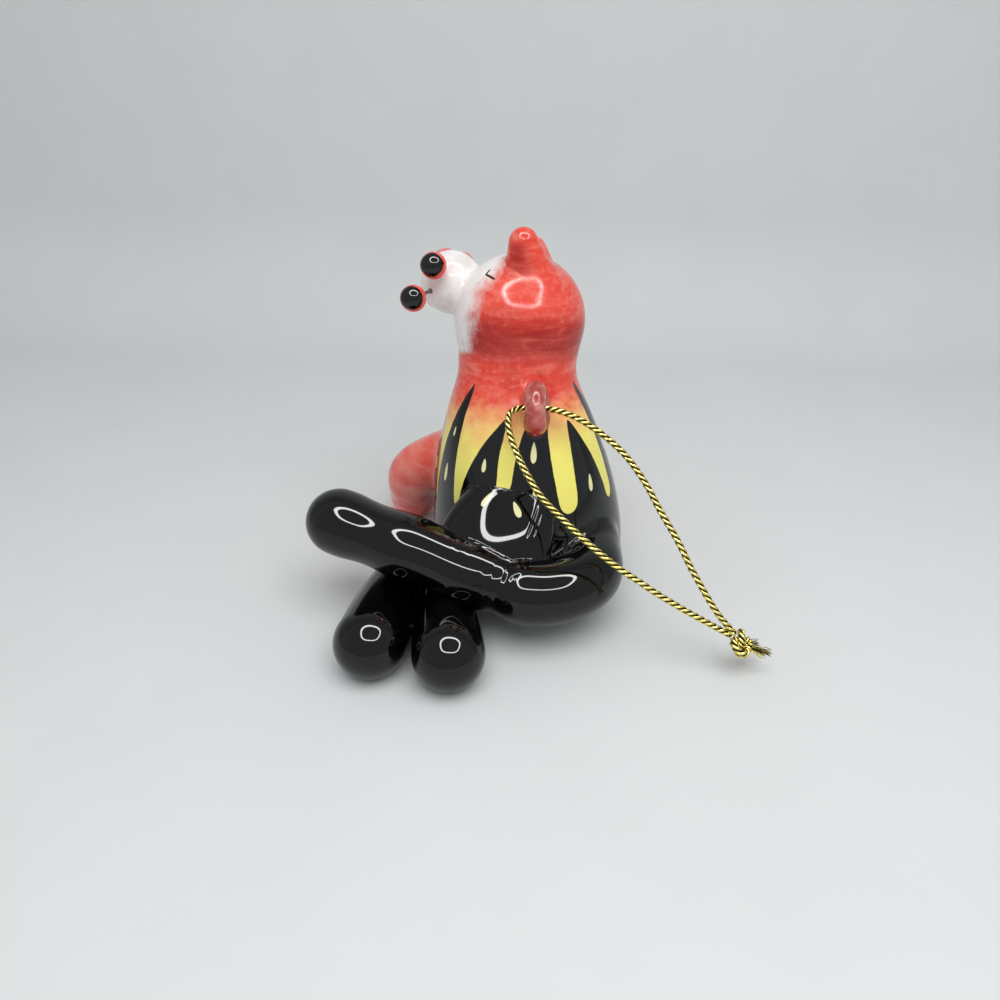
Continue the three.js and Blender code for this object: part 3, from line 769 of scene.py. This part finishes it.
# Torso, painted with flames: coral shoulders run down to yellow between licks of black
flamePaint = dict(
    foot=12.0, valley=21.5, warm=(29, 45),  # heights of the licks' feet, of the black and of the turn to coral
    # turn in degrees, height of the tip, half width, and how far the tip leans, in millimetres
    licks=[
        (-176, 37, 4.3, 1.2), (-146, 43.5, 3.9, 2.6), (-114, 38.5, 4.9, 3.6), (-79, 43, 5.0, 2.4),
        (-44, 37, 4.7, -1.2), (-10, 43.5, 5.1, -3.2), (26, 38, 4.8, -3.6), (61, 43, 5.0, -1.6),
        (96, 37.5, 4.6, 1.4), (127, 43, 4.4, 3.0), (155, 38, 4.0, 2.2),
    ],
    # which lick, how far up it, half length and half width of a lemon dab
    dabs=[
        (0, 0.6, 1.5, 0.5), (1, 0.5, 1.9, 0.6), (1, 0.74, 1.0, 0.34), (2, 0.7, 1.3, 0.5), (3, 0.66, 1.9, 0.62),
        (3, 0.42, 1.3, 0.5), (4, 0.5, 1.7, 0.6), (5, 0.55, 2.1, 0.65), (6, 0.5, 1.6, 0.55),
        (7, 0.5, 2.0, 0.65), (8, 0.5, 1.6, 0.55), (9, 0.55, 2.0, 0.65), (10, 0.5, 1.5, 0.55),
    ],
)
unpainted = -9.0  # a mark's value well outside what it paints


def dabField(along, across, half, wide):
    # a brush dab: across it the width of an ellipse, fuller at its foot, less the distance off its
    # middle line
    q = along / half
    edge = wide * np.sqrt(np.maximum(1 - q**2, 0)) * (1 - 0.4 * q)
    return edge - np.abs(across) - np.maximum(np.abs(along) - half, 0)


def lickMiddle(lick, up):
    # where a lick's middle line lies off its foot, an S: lean·(1.1·u² - 0.7·sin πu)
    return lick[3] * (1.1 * up**2 - 0.7 * np.sin(pi * np.clip(up, 0, 1)))


def lickOff(lick, turn, radius):
    # distance round the flank from a lick's foot
    return ((turn - radians(lick[0]) + pi) % (2 * pi) - pi) * radius


def flameMarks(turn, height, radius):
    # signed distances in millimetres on the unrolled flank: flame is above zero on black, drop on lemon;
    # a lick's half width at a share u of its height is w·(1 - u)^0.6·(0.92 + 0.34·sin πu)
    foot = flamePaint["foot"]
    flame = flamePaint["valley"] - height + 2.2 * np.sin(turn * 3 + 0.5) + 1.2 * np.sin(turn * 7 + 1)
    for lick in flamePaint["licks"]:
        up = (height - foot) / (lick[1] - foot)
        held = np.clip(up, 0, 1)
        half = lick[2] * (1 - held) ** 0.6 * (0.92 + 0.34 * np.sin(pi * held)) - 4 * np.maximum(up - 1, 0)
        off = lickOff(lick, turn, radius) - lickMiddle(lick, up)
        flame = -meeting(-flame, -(half - np.abs(off)) * 0.95, 2.6)
    drop = np.full(flame.shape, unpainted)
    for number, share, half, wide in flamePaint["dabs"]:
        lick = flamePaint["licks"][number]
        above = height - foot - share * (lick[1] - foot)
        off = lickOff(lick, turn, radius) - lickMiddle(lick, share)
        drop = np.maximum(drop, dabField(above, off - 0.15 * above, half, wide))
    return flame, drop


baseDisc = np.stack([np.linspace(0, torsoForm["baseRadius"], 9)[:-1], np.zeros(8)], -1)
inHead = np.linspace(0.15, overlap, 20)  # fine rows past the seam, then closed
inHead = np.vstack([
    np.stack([neckRadius - torsoForm["slope"] * inHead, spineLength + inHead], -1),
    [(neckRadius / 2, spineLength + overlap), (0, spineLength + overlap)],
])
profile = np.vstack([baseDisc, evenly(torsoSide, 212), inHead])
turn = circle(400, -pi)
middle, way = spineAt(profile[:, 1])
# each ring is a level circle tipped over square to the spine
flat = np.stack([np.cos(turn), np.sin(turn), 0 * turn], -1)
tipped = (flat @ way.T).T[..., None] / (1 + way[:, 2])[:, None, None] * (way + (0, 0, 1))[:, None]
rings = middle[:, None] + profile[:, 0, None, None] * (flat - tipped)
rings = settle(rings, torsoField, [
    (headField, fillets["neck"], runsOn), (haunchField, fillets["haunch"], endsUnder),
    (tailField, fillets["tail"], runsOn),
    *((field, fillets["leg"], endsUnder) for field in legFields.values()),
    (eyeField, fillets["eye"], endsUnder),
    *((field, fillets["foot"], runsOn) for field in footFields.values()),
], reach=2.6)
height = profile[:, 1:] + 0 * turn
flame, drop = flameMarks(turn + 0 * height, height, np.maximum(profile[:, :1], 1))
skin("torsoClay", "torso", onTable(rings), flameGlaze,
     {"lickEdge": flame, "dabEdge": drop, "warmUp": ease(height, *flamePaint["warm"])})
print("torso painted")

# Head: coral, with a white face, a black lash line each side and a band of painted shade round the neck
crown = np.linspace(0, pi / 2, 110)[1:, None]
crown = np.hstack([headRadius * np.cos(crown), rise + crownHeight * np.sin(crown)])
inTorso = np.linspace(-overlap, -0.15, 20)  # closed below, then fine rows up to the seam
inTorso = np.vstack([
    [(0, -overlap), (neckRadius / 2, -overlap)],
    np.stack([neckRadius + jowlSlope[0] * inTorso, inTorso], -1),
])
profile = np.vstack([inTorso, evenly(jowl, 60), crown])
neckAcross = unit(np.cross((0, 1, 0), neckWay))
rim = spread(circle(300, -pi), neckAcross, np.cross(neckWay, neckAcross))
rings = settle(turned(profile, neckPlace, neckWay, rim), headField, [
    (torsoField, fillets["neck"], runsOn),
    *((field, fillets["ear"], runsOn) for field in earFields.values()),
    (muzzleField, fillets["muzzle"], runsOn),
], reach=3.0)
facePaint = dict(
    # how far the white reaches from straight ahead, in degrees, at each elevation
    elevation=[-90, -49, -39, -29, -19, -8, 1, 9, 17, 25, 90],
    reach=[68, 68, 66, 64, 59, 55, 53, 52, 55, 58, 58],
    lash=[(8.23, 8.10, 5.68), (8.39, 8.63, 4.64), (6.34, 10.26, 4.66)], stroke=0.3,
    # painted shade: a deep band round the neck, under the bulge of the head
    jowlBand=(0, 4.5, 6, 12), jowlDepth=0.95,  # heights where the deep band comes and goes
)
q = (rings - headMiddle) @ gaze
look = unit(q)
ahead = np.degrees(np.arccos(np.clip(look[..., 0], -1, 1)))
elevation = np.degrees(np.arcsin(np.clip(look[..., 2], -1, 1)))
white = np.interp(elevation, facePaint["elevation"], facePaint["reach"]) - ahead
height = (rings - neckPlace) @ neckWay
white = radians(1) * headRadius * white - 5 * (1 - ease(height, -0.5, 3))  # it fades out down the neck
lash = np.full(white.shape, unpainted)
for side in (1, -1):
    corners = np.array(facePaint["lash"]) * (1, side, 1)
    for a, b in zip(corners[:-1], corners[1:]):
        t = np.clip(((q - a) @ (b - a)) / ((b - a) @ (b - a)), 0, 1)
        lash = np.maximum(lash, facePaint["stroke"] - np.linalg.norm(q - a - t[..., None] * (b - a), axis=-1))
# painted shade under the bulge of the head, carried by the depth mark
band = facePaint["jowlBand"]
depth = facePaint["jowlDepth"] * ease(height, *band[:2]) * (1 - ease(height, *band[2:]))
skin("headClay", "head", rings, faceGlaze, {"white": white, "lash": lash, "depth": depth})

# Ears, blended into the head, darker coral down the outer side, fading at the root and tip
tipRound = np.linspace(np.arcsin(earLean), pi / 2, 26)[:, None]
tipRound = earForm["tipRadius"] * np.hstack([np.cos(tipRound), np.sin(tipRound)]) + (0, earLength)
rootRound = np.linspace(-pi / 2, np.arcsin(earLean), 70)[:, None]
rootRound = earForm["rootRadius"] * np.hstack([np.cos(rootRound), np.sin(rootRound)])
profile = np.vstack([rootRound, np.linspace(rootRound[-1], tipRound[0], 60)[1:-1], tipRound])
high = profile[:, 1:]
turn = circle(150, -pi)
for side, (root, tip) in earEnds.items():
    way = (tip - root) / earLength
    across = unit(np.cross(way, forward)) * np.sign(earForm["sides"][side])
    rings = turned(profile, root, way, spread(turn, across, np.cross(across, way)))
    rings = settle(rings, earFields[side], [(headField, fillets["ear"], runsOn)], reach=3.0)
    stroke = np.exp(-((turn / 0.62) ** 2)) * ease(high, 3.0, 5.0) * (1 - ease(high, 8.6, 10.6))
    stroke = stroke * ease(headField(rings), 0.2, 1.2)  # none on the seam
    skin(side + "EarClay", side + "_ear", rings, coralGlaze, {"depth": 0.9 * stroke})

# Whiskers: a wire let into the muzzle, its bead coral by the wire and dipped in black outside
whiskerForm = dict(
    wire=0.32, set=3.0, bead=2.5, bore=3.0, holeShade=0.75,
    towards=dict(left_upper=(2.4, 8.8, 1.5), left_lower=(3.3, 8.8, -5.6),
                 right_upper=(1.4, -8.8, 3.8), right_lower=(3.3, -8.8, -4.6)),
    bare=dict(left_upper=0.7, left_lower=2.3, right_upper=1.1, right_lower=1.2),
)
muzzleRings = muzzleMiddle + muzzleRadius * ball(100, 140) @ gaze.T
muzzleRings = settle(muzzleRings, muzzleField, [(headField, fillets["muzzle"], runsOn)], reach=1.8)
hole = np.full(muzzleRings.shape[:2], unpainted)
for name, towards in whiskerForm["towards"].items():
    way = gaze @ unit(np.array(towards))
    bare = muzzleRadius + whiskerForm["bare"][name]
    start = muzzleRadius - whiskerForm["set"]
    line = muzzleMiddle + np.linspace(start, bare + whiskerForm["bore"], 24)[:, None] * way
    rings = carried(line, np.full(24, whiskerForm["wire"]), 16, 6, up=top)
    plain = name.replace("_", "")
    skin(plain + "Wire", name + "_whisker", rings, whiskerWire)
    rim = ball(40, 56)
    rings = muzzleMiddle + way * (bare + whiskerForm["bead"])
    rings = rings + whiskerForm["bead"] * rim * (1 + 0.012 * lumps(rim, 1.6)[..., None])
    dip = whiskerForm["bead"] * (rim @ left * np.sign(towards[1]) - 0.5)
    skin(plain + "Bead", name + "_bead", rings, beadGlaze, {"dip": dip})
    entry = muzzleMiddle + way * muzzleRadius
    # painted shade round the hole where each wire goes into the muzzle
    hole = np.maximum(hole, whiskerForm["holeShade"] - np.linalg.norm(muzzleRings - entry, axis=-1))
skin("muzzleClay", "muzzle", muzzleRings, whiteGlaze, {"hole": hole})

# Nose: a pellet pressed on the muzzle, wider than deep, with a dot each side for the nostrils
noseForm = dict(radius=1.9, squash=(0.56, 1.12, 0.95), lift=48.0, sink=0.6, nostril=0.45, nostrilOff=0.9)
lift = radians(noseForm["lift"])
noseOut = gaze @ (np.cos(lift), 0, np.sin(lift))
noseMiddle = muzzleMiddle + (muzzleRadius - noseForm["sink"]) * noseOut
noseAxes = np.stack([noseOut, left, np.cross(noseOut, left)], -1)
q = noseForm["radius"] * ball(48, 64) * noseForm["squash"]
off = np.hypot(np.abs(q[..., 1]) - noseForm["nostrilOff"], q[..., 2] + noseForm["nostrilOff"])
skin("nosePellet", "nose", noseMiddle + q @ noseAxes.T, noseGlaze,
     {"nostril": noseForm["nostril"] - off})
print("head, ears, muzzle and whiskers done")

# Haunch: two lemon dabs, and folds pressed in where it meets the root of the tail
haunchPaint = dict(
    # middle of a dab, its half length and half width, how far it leans
    dabs=[((-9.0, -17.3, 27.4), 1.9, 0.62, 0.35), ((-3.3, -19.0, 25.9), 1.7, 0.66, -0.3)],
    foldTop=(1.2, -19.2, 26.3), foldLow=(-0.2, -22.3, 22.3), folds=(-0.8, 0.35), foldDepth=0.06,
)
stretch = 12  # a profile about as long as the lump, so that its rows are even on it
o = np.sin(np.linspace(0, pi / 2, 300))
face = np.stack([stretch * o, -haunchForm["proud"] * np.sqrt(1 - o**2)], -1)
body = np.stack([stretch * o[::-1], haunchForm["deep"] * np.sqrt(1 - o[::-1] ** 2)], -1)
profile = np.vstack([evenly(face, 150), evenly(body, 60)[1:]]) / (stretch, 1)
turn = circle(240)
rings = np.stack([
    profile[:, :1] * np.cos(turn) * haunchForm["length"] / 2, profile[:, 1:] + 0 * turn,
    profile[:, :1] * np.sin(turn) * haunchForm["width"] / 2,
], -1)
rings = haunchMiddle + rings @ haunchAxes.T
soft = 0.5  # level underneath, inside the tail: z stays above a level, eased by s·ln(1 + e^(z/s))
rings[..., 2] = haunchForm["level"] + soft * np.logaddexp(0, (rings[..., 2] - haunchForm["level"]) / soft)
seams = [(torsoField, fillets["haunch"], endsOver), (tailField, fillets["tailHaunch"], runsOn)]
rings = settle(rings, haunchField, seams, reach=1.6)
crease = creases(rings, haunchField, seams)
foldTop, foldLow = np.array(haunchPaint["foldTop"]), np.array(haunchPaint["foldLow"])
out = slope(haunchField, rings.reshape(-1, 3)).reshape(rings.shape)
down = foldLow - foldTop
across = unit(np.cross(down, slope(haunchField, (foldTop + foldLow) / 2)))
share = (rings - foldTop) @ down / (down @ down)
off = (rings - foldTop) @ across
window = ease(share, -0.35, 0.15) * (1 - ease(share, 0.85, 1.3))
groove = sum(np.exp(-(((off - fold - 0.5 * share) / 0.2) ** 2)) for fold in haunchPaint["folds"]) * window
rings = rings - haunchPaint["foldDepth"] * groove[..., None] * out
drop = np.full(rings.shape[:2], unpainted)
for middle, half, wide, lean in haunchPaint["dabs"]:
    middle = np.array(middle)
    facing = slope(haunchField, middle)
    level = unit(np.cross((0, 0, 1), facing))
    high = np.cross(facing, level)
    x, y = (rings - middle) @ level, (rings - middle) @ high
    dab = dabField(y * np.cos(lean) + x * np.sin(lean), x * np.cos(lean) - y * np.sin(lean), half, wide)
    drop = np.maximum(drop, np.where(np.abs((rings - middle) @ facing) < 2, dab, unpainted))
skin("haunchClay", "left_haunch", rings, blackGlaze, {"crease": crease, "dabEdge": drop})

# Tail, feet and legs: rolled coils, flat where they stand
seams = [(torsoField, fillets["tail"], runsOn), (haunchField, fillets["tailHaunch"], runsOn)]
rings = settle(carried(tailLine, tailRadii, 96, 22), tailField, seams, reach=2.0)
skin("tailCoil", "tail", rings, blackGlaze, {"crease": creases(rings, tailField, seams)})
for side, other in (("right", "left"), ("left", "right")):
    seams = [(torsoField, fillets["foot"], runsOn), (footFields[other], fillets["feet"], runsOn)]
    rings = settle(carried(footLines[side], footRadii, 80, 20), footFields[side], seams, reach=1.4)
    skin(side + "HindFootCoil", side + "_hind_foot", onTable(rings), blackGlaze,
         {"crease": creases(rings, footFields[side], seams)})
for side, line in legLines.items():
    seams = [(torsoField, fillets["leg"], endsOver)]
    rings = settle(carried(line, legRadii, 220, 50), legFields[side], seams, reach=1.8)
    # paler coral on the legs: dry-brush mottle, with painted light lifting the whole leg
    skin(side + "FrontLegCoil", side + "_front_leg", onTable(rings), coralGlaze,
         {"dryBrushAndLight": 0.25 + 0.35 * lumps(rings, 7.0)})

# Hanging eye, its feet smeared into the back
rings = carried(archLine, archRadii, 72, 16, up=eyeForm["across"])
rings = settle(rings, eyeField, [(torsoField, fillets["eye"], endsOver)], reach=1.8)
low = 0.8 * ease(-(rings - eyeMiddle) @ eyeUp, 0.5, 4.5)
skin("hangingEyeCoil", "hanging_eye", rings, eyeGlaze, {"low": low})
print("body coils done")


def stageMesh(name, points, faces, material):
    # a plain open mesh beside the object
    mesh = bpy.data.meshes.new(name)
    mesh.from_pydata((points * mm).tolist(), [], faces.tolist())
    mesh.shade_smooth()
    mesh.materials.append(material)
    made = bpy.data.objects.new(name, mesh)
    scene.collection.objects.link(made)
    return made


# Stage: a pale paper sweep, a ring lamp overhead and an even pale room
stageForm = dict(wall=171.0, bend=45.0, side=2500.0, front=700.0, high=700.0)
angle = np.linspace(0, pi / 2, 24)
bendLine = np.stack([stageForm["wall"] - stageForm["bend"] * (1 - np.sin(angle)),
                     stageForm["bend"] * (1 - np.cos(angle))], -1)
sweep = np.vstack([[(-stageForm["front"], 0)], bendLine, [(stageForm["wall"], stageForm["high"])]])
x = np.array([-stageForm["side"], stageForm["side"]])
points = np.stack(np.broadcast_arrays(x, sweep[:, :1], sweep[:, 1:]), -1).reshape(-1, 3)
faces = np.arange(len(sweep) - 1)[:, None] * 2 + np.array([0, 1, 3, 2])
paper, tree, shader = newFinish("matt white paper")
fibre = mottle(tree, 30, 3.0)
colour = addNode(tree, "Mix", {0: fibre, 6: "#dfe1e0", 7: "#d8dad9"}, **overPaint)
setInputs(shader, {"Base Color": colour, "Roughness": 0.75})
floor = stageMesh("paperSweep", points, faces, paper)

# Ring lamp: a strip along a rounded square, |x|^p + |y|^p = 1
lampForm = dict(middle=(36, -160, 320), half=(178, 150), strip=28.0, power=2.7, light=22.0, spread=0.86)
sides = 160
square = spread(circle(sides), (1, 0), (0, 1))
square = np.sign(square) * np.abs(square) ** (2 / lampForm["power"])
strip = [square * (np.array(lampForm["half"]) + half * lampForm["strip"]) for half in (-0.5, 0.5)]
points = np.pad(np.concatenate(strip), ((0, 0), (0, 1))) + lampForm["middle"]
one, two = np.arange(sides), (np.arange(sides) + 1) % sides
lampGlow, tree, shader = newFinish("lamp diffuser")
setInputs(shader, {
    "Emission Color": (1, 0.985, 0.96, 1), "Emission Strength": lampForm["light"],
    "Base Color": (0.8, 0.8, 0.8, 1)})
lamp = stageMesh("ringLamp", points, np.stack([one, two, two + sides, one + sides], -1), lampGlow)
lamp.visible_camera = False
lamp.visible_diffuse = False  # it gives the shine; the soft box gives the light
softData = bpy.data.lights.new("softBox", "AREA")
softData.shape = "ELLIPSE"
softData.size, softData.size_y = (2 * side * mm for side in lampForm["half"])
softData.energy = lampForm["spread"]
softBox = bpy.data.objects.new("softBox", softData)
softBox.location = np.array(lampForm["middle"]) * mm
softBox.visible_glossy = False
scene.collection.objects.link(softBox)

room = bpy.data.worlds.new("paleRoom")
room.use_nodes = True
setInputs(room.node_tree.nodes["Background"], {"Color": (0.93, 0.96, 1.0, 1), "Strength": 0.55})
scene.world = room
print("stage lit")
